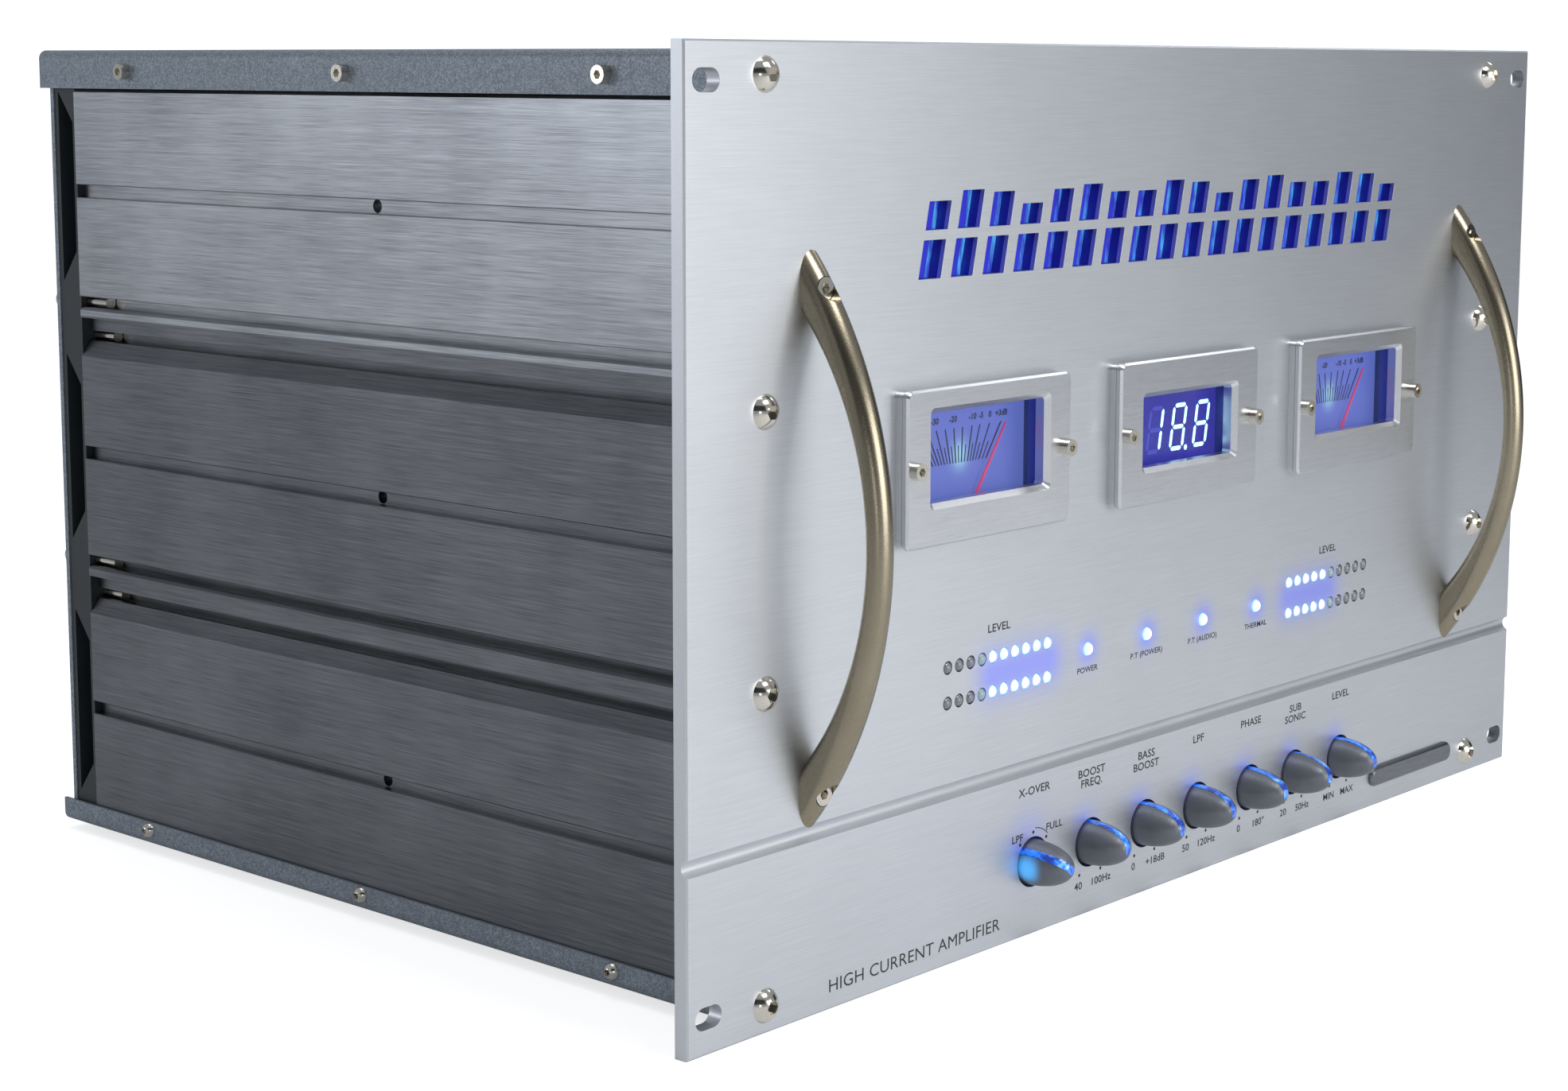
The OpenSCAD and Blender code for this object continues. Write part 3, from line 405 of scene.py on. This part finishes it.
digit = Finish("lit_figure", (0.5, 0.9, 0.9), roughness=0.4)
digit.feed("Emission Color", digit.mix(digit.noise(160, 2.0), (0.50, 0.95, 1.0), (0.62, 1.0, 1.0)))
digit.feed("Emission Strength", 1.25)
ghost = Finish("unlit_figure", (0.03, 0.03, 0.22), roughness=0.3)
ghost.feed("Emission Color", ghost.mix(ghost.noise(160, 2.0), (0.04, 0.04, 0.40), (0.05, 0.06, 0.50)))
ghost.feed("Emission Strength", 0.8)
print("lights inside ready")

# %% Clear parts, needles and ink
window = Finish("clear_window", (0.10, 0.16, 0.45), roughness=0.03, alpha=0.08)
smudge = window.noise(60, 3.0)
window.feed("Roughness", 0.02 + smudge * 0.05)

stripe = Finish("clear_blue", (0.02, 0.16, 0.75), roughness=0.06, coat_weight=1.0)
x, y, z = stripe.axes()
ripple = stripe.noise(330, 2.0, stretch=(1, 0.6, 1))
deep = stripe.mix(ripple.step(0.38, 0.62), (0.004, 0.030, 0.30), (0.02, 0.22, 0.95))
stripe.feed("Base Color", deep)
# Painted highlight: pale cyan patches in the emission towards the front of the stripe.
painted_highlight = ripple.step(0.56, 0.68) * (-y).step(6.0, 13.0)
stripe.feed("Emission Color", stripe.mix(painted_highlight, deep, (0.45, 0.85, 1.0)))
stripe.feed("Emission Strength", 0.5)
stripe.bumps(ripple, 0.0006, 0.8)

needle = Finish("needle_red", (0.62, 0.03, 0.10), roughness=0.4)
# Painted light: the needle is given a red glow in its emission, though it is no lamp.
needle.feed("Emission Color", needle.mix(needle.noise(300, 2.0), (0.50, 0.05, 0.13), (0.66, 0.09, 0.20)))
needle.feed("Emission Strength", 0.45)

ink = Finish("black_ink", (0.012, 0.012, 0.015), roughness=0.5)
wear = ink.noise(1500, 2.0)
ink.feed("Base Color", ink.mix(wear, (0.008, 0.008, 0.010), (0.030, 0.030, 0.034)))
ink.feed("Roughness", 0.42 + wear * 0.15)
print("clear parts and ink ready")

# %% [markdown]
# ## Giving every engineering part its finish
# A list of part names for each finish keeps this readable.

# %% Assign finishes
KNOBS = ("crossover", "boost_freq", "bass_boost", "low_pass", "phase", "subsonic", "level")
finishes = {
    plate: ["front_panel"],
    heatsink: ["heatsinks_left", "heatsinks_right", "front_rails"],
    bezel: ["meter_bezel_left", "display_bezel", "meter_bezel_right"],
    handle: ["handle_left", "handle_right"],
    cover: ["top_cover", "bottom_cover", "rear_panel"],
    nickel: ["handle_screws", "panel_screws", "bezel_screws", "top_cover_screws", "bottom_cover_screws",
             "slot_nuts", "frame_screws", "terminal_screws", "board_standoffs"],
    badge: ["badge"],
    steel: ["potentiometers", "meter_movements"],
    gold: ["wire_terminals", "signal_jacks"],
    knob: ["knob_" + name for name in KNOBS],
    stripe: ["core_" + name for name in KNOBS],
    black: ["rear_frames", "fan_frames", "fan_rotor_left", "fan_rotor_right", "terminal_bases",
            "power_transistors"],
    sleeve: ["capacitors"],
    board: ["led_board", "control_board", "amplifier_board"],
    copper: ["toroids"],
    can: ["meter_housings"],
    dial: ["meter_dials"],
    screen: ["display_module"],
    inlay: ["light_panel"],
    lamp: ["level_leds"],
    indicator: ["indicator_leds"],
    window: ["clear_windows"],
    needle: ["meter_needle_left", "meter_needle_right"],
}
for finish, names in finishes.items():
    for name in names:
        data = nodes[name].data
        data.materials.clear()
        data.materials.append(finish.material)
print(sum(len(names) for names in finishes.values()), "of", len(nodes), "parts have a finish")

# %% [markdown]
# ## Edges that catch the light
# A milled edge is never perfectly sharp: it has a small chamfer that shows as a bright line. The
# engineering parts are left as they are, so a copy is welded into a clean mesh, its flat faces
# are joined up, and a Bevel modifier rounds the edges. The cut-out's edges are wider, polished
# chamfers, so each edge carries its own weight.

# %% Bevelled copies
SHARP_ANGLE = math.radians(32)


def welded(node, name):
    """A clean copy of a part: its loose triangles merged, and flat groups joined into one face."""
    copy = nodes[node].copy()
    copy.data = nodes[node].data.copy()
    copy.name = copy.data.name = name
    for key in list(copy.keys()):
        del copy[key]
    copy.parent = None
    bpy.context.scene.collection.objects.link(copy)
    mesh = bmesh.new()
    mesh.from_mesh(copy.data)
    bmesh.ops.remove_doubles(mesh, verts=mesh.verts, dist=2e-6)
    bmesh.ops.dissolve_limit(mesh, angle_limit=math.radians(0.6), verts=mesh.verts, edges=mesh.edges)
    for face in mesh.faces:
        face.smooth = True
    for edge in mesh.edges:
        edge.smooth = edge.calc_face_angle(0.0) < SHARP_ANGLE
    mesh.to_mesh(copy.data)
    mesh.free()
    return copy


def bevelled(node, name, width, weight=None):
    """A welded copy with a bevel; weight, if given, is a function of the edges' two ends."""
    piece = welded(node, name)
    bevel = piece.modifiers.new("edges", "BEVEL")
    bevel.width, bevel.segments = width * MM, 2
    bevel.harden_normals = True
    bevel.use_clamp_overlap = True
    if weight is None:
        bevel.limit_method, bevel.angle_limit = "ANGLE", SHARP_ANGLE
    else:
        bevel.limit_method = "WEIGHT"
        mesh = piece.data
        points = np.empty(len(mesh.vertices) * 3)
        mesh.vertices.foreach_get("co", points)
        points = points.reshape(-1, 3)
        ends = np.empty(len(mesh.edges) * 2, int)
        mesh.edges.foreach_get("vertices", ends)
        ends = ends.reshape(-1, 2)
        is_sharp = np.zeros(len(mesh.edges), bool)
        sharp = mesh.attributes.get("sharp_edge")
        if sharp:
            sharp.data.foreach_get("value", is_sharp)
        amounts = weight(points[ends[:, 0]], points[ends[:, 1]]) * is_sharp
        mesh.attributes.new("bevel_weight_edge", "FLOAT", "EDGE").data.foreach_set("value", amounts)
    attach(piece, next(b for b, group in frame["record"]["behaviour"]["bodies"].items() if node in group))
    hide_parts(node)
    return piece


def cutout_weight(a, b):
    """Full width on the front edges of the cut-out, a third elsewhere."""
    middle = (a + b) / 2
    on_front = (np.abs(a[:, 1] - FRONT) < 1e-5) & (np.abs(b[:, 1] - FRONT) < 1e-5)
    in_cutout = (np.abs(middle[:, 0]) < 0.150) & (middle[:, 2] > 0.215) & (middle[:, 2] < 0.248)
    return np.where(on_front & in_cutout, 1.0, 0.3)


plate_piece = bevelled("front_panel", "front_plate", 0.75, cutout_weight)
for node, name, width, slot in (
    ("heatsinks_left", "left_heatsinks", 0.25, "heatsink_silver"),
    ("heatsinks_right", "right_heatsinks", 0.25, "heatsink_silver"),
    ("top_cover", "upper_cover", 0.2, "cover_grey"),
    ("bottom_cover", "lower_cover", 0.2, "cover_grey"),
    ("rear_panel", "back_plate", 0.2, "cover_grey"),
    ("rear_frames", "end_frames", 0.3, "dark_plastic"),
    ("terminal_bases", "terminal_blocks", 0.5, "dark_plastic"),
    ("badge", "name_plate", 0.25, "frame_silver"),
):
    bevelled(node, name, width)
print("bevelled pieces ready")

# %% [markdown]
# ## Ink and lit figures
# Printed lettering has a thickness too small to see, but a mesh needs one, so each letter is a
# very thin closed solid lying on the metal. Words come from Blender's own font, turned into a
# mesh. Ticks, dots and the display's figures are thin prisms, all corners worked out in one array.

# %% Lettering and prisms
LIGHT_FROM = 3.0  # cap height, in millimetres, from which letters aren't thickened


def letters(name, finish, entries, face_y, wide=1.0, weight=0.02, body="chassis"):
    """One mesh of many words. Each entry is (words, x, z, cap height, tilt of the strokes)."""
    points, faces, count = [], [], 0
    for words, x, z, height, slant in entries:
        curve = bpy.data.curves.new("words", "FONT")
        curve.body, curve.size = words, height / 0.70
        curve.align_x, curve.align_y = "CENTER", "CENTER"
        curve.extrude, curve.resolution_u, curve.shear = 0.01, 3, slant
        curve.space_character = 1.02
        curve.offset = weight * height if height < LIGHT_FROM else 0.0
        holder = bpy.data.objects.new("words", curve)
        bpy.context.scene.collection.objects.link(holder)
        graph = bpy.context.evaluated_depsgraph_get()
        mesh = bpy.data.meshes.new_from_object(holder.evaluated_get(graph))
        flat = np.empty(len(mesh.vertices) * 3)
        mesh.vertices.foreach_get("co", flat)
        flat = flat.reshape(-1, 3)
        middle = (flat.max(0) + flat.min(0)) / 2
        flat -= (middle[0], middle[1], 0)
        points.append(np.column_stack((x + flat[:, 0] * wide, face_y - flat[:, 2], z + flat[:, 1])))
        faces += [[v + count for v in polygon.vertices] for polygon in mesh.polygons]
        count += len(flat)
        bpy.data.objects.remove(holder)
        bpy.data.curves.remove(curve)
        bpy.data.meshes.remove(mesh)
    return piece_from(name, np.concatenate(points), faces, finish, body)


def piece_from(name, millimetres, faces, finish, body):
    """A finished piece from points in millimetres, with y counted from the panel's face."""
    mesh = bpy.data.meshes.new(name)
    mesh.from_pydata((millimetres * MM + (0, FRONT, 0)).tolist(), [], faces)
    tidy = bmesh.new()
    tidy.from_mesh(mesh)
    bmesh.ops.remove_doubles(tidy, verts=tidy.verts, dist=1e-7)
    tidy.to_mesh(mesh)
    tidy.free()
    mesh.materials.append(finish.material)
    piece = bpy.data.objects.new(name, mesh)
    bpy.context.scene.collection.objects.link(piece)
    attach(piece, body)
    return piece


def prisms(name, finish, outlines, face_y, depth=0.03, body="chassis"):
    """Thin closed solids. outlines is an array (solids, corners, 2) of x and z, anticlockwise as seen
    from the front; corner k of a solid's front is point k, and of its back point k + corners."""
    outlines = np.asarray(outlines, float)
    solids, corners = outlines.shape[:2]
    front = np.dstack((outlines[..., 0], np.full((solids, corners), face_y - depth), outlines[..., 1]))
    back = front + (0, depth, 0)
    points = np.concatenate((front, back), axis=1).reshape(-1, 3)
    ring = np.arange(corners)
    ahead = (ring + 1) % corners
    start = (np.arange(solids) * 2 * corners)[:, None]
    faces = (start + ring).tolist() + (start + corners + ring[::-1]).tolist()
    sides = np.column_stack((ring, ring + corners, ahead + corners, ahead))
    faces += (start[:, :, None] + sides).reshape(-1, 4).tolist()
    return piece_from(name, points, faces, finish, body)


def strokes(starts, ends, widths):
    """Four-cornered outlines of straight strokes: each corner is an end moved half a width sideways."""
    starts, ends = np.asarray(starts, float), np.asarray(ends, float)
    along = (ends - starts) / np.linalg.norm(ends - starts, axis=1, keepdims=True)
    side = np.column_stack((along[:, 1], -along[:, 0])) * np.asarray(widths)[:, None] / 2
    return np.stack((starts + side, ends + side, ends - side, starts - side), axis=1)


print("lettering helpers ready")

# %% Words on the panel
words = [("LEVEL", -98.8, 105.5, 2.6, 0), ("LEVEL", 98.8, 105.5, 2.6, 0)]
states = ("POWER", "P.T (POWER)", "P.T (AUDIO)", "THERMAL")
words += [(text, spot, 84.0, 1.9, 0) for text, spot in zip(states, INDICATORS)]
titles = ("X-OVER", "BOOST/FREQ.", "BASS/BOOST", "LPF", "PHASE", "SUB/SONIC", "LEVEL")
for text, spot in zip(titles, KNOBS_X):
    rows = text.split("/")
    heights = (48.5,) if len(rows) == 1 else (48.7, 44.9)
    words += [(row, spot + 0.3, height, 2.7, 0) for row, height in zip(rows, heights)]
scales = (("", ""), ("40", "100Hz"), ("0", "+18dB"), ("50", "120Hz"), ("0", "180°"),
          ("20", "50Hz"), ("MIN", "MAX"))
for (low, high), spot in zip(scales, KNOBS_X):
    if low:
        words += [(low, spot - 6.5, 10.4, 2.5, 0), (high, spot + 6.6, 10.4, 2.5, 0)]
words += [("LPF", KNOBS_X[0] - 8.4, KNOB_Z + 9.3, 2.4, 0), ("FULL", KNOBS_X[0] + 11.4, KNOB_Z + 10.2, 2.4, 0)]
words += [("HIGH CURRENT AMPLIFIER", -138.5, 7.4, 4.0, 0)]
letters("panel_words", ink, words, -0.01, wide=1.2)
print(len(words), "words on the panel")

# %% Dots beside the knobs, and the small arc
DOT_RING, ARC_RING = 9.9, 11.2
circle = np.linspace(0, 2 * math.pi, 12, endpoint=False)
round_dot = np.column_stack((np.cos(circle), np.sin(circle))) * 0.6
centres = [(x + s * 6.0, 14.1) for x in KNOBS_X[1:] for s in (-1, 1)]
centres += [(KNOBS_X[0] + DOT_RING * math.sin(a), KNOB_Z + DOT_RING * math.cos(a))
            for a in np.radians((-45, 0, 45))]
prisms("panel_dots", ink, np.asarray(centres)[:, None, :] + round_dot[None], 0.0)
bend = np.radians(np.linspace(5, 44, 9))
arc = np.column_stack((KNOBS_X[0] + ARC_RING * np.sin(bend), KNOB_Z + ARC_RING * np.cos(bend)))
prisms("panel_arc", ink, strokes(arc[:-1], arc[1:], np.full(len(arc) - 1, 0.3)), 0.0)
print(len(centres), "dots")

# %% Dials: long and short marks and a scale of numbers
DIAL_Y = 8.0
PIVOT_Z = 139.0
MARK_FOOT, SHORT_TOP, LONG_TOP = 158.6, 164.0, 169.7
tops = np.array((-20.8, -16.2, -11.8, -7.4, -3.1, 1.3, 6.1, 10.1, 15.0, 20.8))
angles = np.arctan(tops / (LONG_TOP - PIVOT_Z))
between = angles[:-1] + (angles[1:] - angles[:-1]) / 2


def ray(angle, height):
    """The point at a height above the panel's foot, on a ray from the needle's pivot."""
    return np.column_stack(((height - PIVOT_Z) * np.tan(angle), np.broadcast_to(height, angle.shape)))


def marks(angle, top, width):
    """Strokes of one width along the rays, from the marks' foot up to a height."""
    return strokes(ray(angle, MARK_FOOT), ray(angle, top), np.full(len(angle), width))


all_marks = np.concatenate((marks(angles, LONG_TOP, 0.58), marks(between, SHORT_TOP, 0.46)))
for side, centre in (("left", -METER_X), ("right", METER_X)):
    prisms(side + "_dial_marks", ink, all_marks + (centre, 0), DIAL_Y - 0.02, 0.04)
    numbers = (("-30", -12.6), ("-20", -3.5), ("-10", 6.3), ("-5", 10.6), ("0", 15.2), ("+3dB", 21.0))
    letters(side + "_dial_numbers", ink, [(text, centre + x, 172.6, 1.9, 0.1) for text, x in numbers],
            DIAL_Y - 0.03, 1.05, 0.05)
print(len(angles) + len(between), "marks on each dial")

# %% Seven-segment figures on the display
SEGMENTS = {"a": ((0, 2), (1, 2)), "b": ((1, 2), (1, 1)), "c": ((1, 1), (1, 0)), "d": ((0, 0), (1, 0)),
            "e": ((0, 1), (0, 0)), "f": ((0, 2), (0, 1)), "g": ((0, 1), (1, 1))}


def figure(left, lit, low=151.9, width=7.2, height=14.8, stroke=1.45, lean=0.17):
    """Six-cornered bars between the corners of a figure; each bar's ends are points."""
    bars = []
    for key in lit:
        a, b = (np.array((left + u * width, low + v * height / 2)) for u, v in SEGMENTS[key])
        a, b = (a + (b - a) * 0.06, b - (b - a) * 0.06)
        along = (b - a) / np.linalg.norm(b - a)
        side = np.array((along[1], -along[0])) * stroke / 2
        inset = along * stroke / 2
        bars.append((a, a + inset + side, b - inset + side, b, b - inset - side, a + inset - side))
    bars = np.asarray(bars)
    bars[..., 0] += (bars[..., 1] - low) * lean
    return bars


FIGURE_Y = 5.03
FIGURES = ((-12.0, "bc", "adefg"), (1.9, "abcdefg", ""), (15.9, "abcdefg", ""))
lit_bars = np.concatenate([figure(left, on) for left, on, off in FIGURES])
prisms("display_figures", digit, lit_bars, FIGURE_Y, 0.05)
dark_bars = np.concatenate([figure(left, off) for left, on, off in FIGURES if off])
prisms("display_unlit", ghost, dark_bars, FIGURE_Y, 0.04)
point = round_dot * 1.6 + (11.4, 151.7)
prisms("display_point", digit, point[None], FIGURE_Y, 0.05)
print(len(lit_bars), "lit bars on the display")

# %% [markdown]
# ## Floor and studio light
# A pale floor runs far behind the object, so its edge is never seen. A large soft lamp stands in
# front and to the right, where the silver plate reflects it, with others above and behind on the
# left. Small ones at the left front and upper right brighten bevels, and one lifts the floor.
# Two black cards give polished metal its dark side. To the camera, the floor and sky look
# brighter than they light the object.

# %% Floor
floor_finish = Finish("studio_floor", (0.86, 0.87, 0.88), roughness=0.6)
dust = floor_finish.noise(3, 3.0)
floor_finish.feed("Base Color", floor_finish.mix(dust, (0.85, 0.86, 0.87), (0.88, 0.885, 0.89)))
seen = floor_finish.node("LightPath", out="Is Camera Ray")
floor_finish.feed("Emission Color", floor_finish.tinted(seen, (1.0, 1.0, 1.0)))
floor_finish.feed("Emission Strength", 0.7)
floor_mesh = bpy.data.meshes.new("studio_floor")
reach = 12.0
corners = [(-reach, -reach, 0), (reach, -reach, 0), (reach, reach, 0), (-reach, reach, 0)]
floor_mesh.from_pydata(corners, [], [(0, 1, 2, 3)])
floor_mesh.materials.append(floor_finish.material)
floor = bpy.data.objects.new("studio_floor", floor_mesh)
bpy.context.scene.collection.objects.link(floor)


def softbox(name, place, aim, width, height, power, tint=(1, 1, 1)):
    """A rectangular lamp at a place, turned to face a point."""
    data = bpy.data.lights.new(name, "AREA")
    data.shape, data.size, data.size_y = "RECTANGLE", width, height
    data.energy, data.color = power, tint
    box = bpy.data.objects.new(name, data)
    box.location = place
    box.rotation_euler = (Vector(aim) - Vector(place)).to_track_quat("-Z", "Y").to_euler()
    bpy.context.scene.collection.objects.link(box)


def dark_card(name, x0, y0, x1, y1, low, high):
    """An upright black card, seen only in reflections, that gives polished metal its dark side."""
    mesh = bpy.data.meshes.new(name)
    edge = [(x0, y0, low), (x1, y1, low), (x1, y1, high), (x0, y0, high)]
    mesh.from_pydata(edge, [], [(0, 1, 2, 3)])
    mesh.materials.append(black.material)
    card = bpy.data.objects.new(name, mesh)
    card.visible_camera = False
    bpy.context.scene.collection.objects.link(card)


softbox("front_right", (0.27, -1.6, 0.40), (-0.2, -0.16, 0.12), 0.9, 0.7, 8.6)
softbox("floor_light", (-0.05, -0.75, 1.0), (-0.05, -0.36, 0.0), 0.45, 0.3, 4.2)
softbox("overhead", (-0.2, 0.15, 1.7), (-0.1, 0.1, 0.1), 1.2, 0.9, 5)
softbox("camera_side", (-1.45, -1.55, 0.22), (0.0, -0.16, 0.15), 0.35, 0.3, 0.9)
softbox("high_right", (1.3, -0.25, 1.2), (0.0, -0.1, 0.15), 0.3, 0.25, 0.9)
softbox("rear_left", (-1.9, 1.3, 0.5), (-0.2, 0.0, 0.2), 0.9, 0.45, 5, (0.93, 0.96, 1.0))
dark_card("card_behind_camera", -2.1, -0.5, -0.5, -2.1, 0.42, 1.5)
dark_card("card_right", 1.35, -0.95, 1.7, -0.2, 0.0, 0.7)
bpy.context.scene.view_settings.view_transform = "Standard"
world = bpy.data.worlds.new("studio")
world.use_nodes = True
sky = world.node_tree
sky.nodes["Background"].inputs[0].default_value = (0.88, 0.93, 1.0, 1)
path = sky.nodes.new("ShaderNodeLightPath")
level = sky.nodes.new("ShaderNodeMapRange")
level.inputs["To Min"].default_value = 0.40
level.inputs["To Max"].default_value = 1.25
sky.links.new(path.outputs["Is Camera Ray"], level.inputs["Value"])
sky.links.new(level.outputs[0], sky.nodes["Background"].inputs[1])
bpy.context.scene.world = world
print("floor, six lamps, two dark cards and a pale sky")
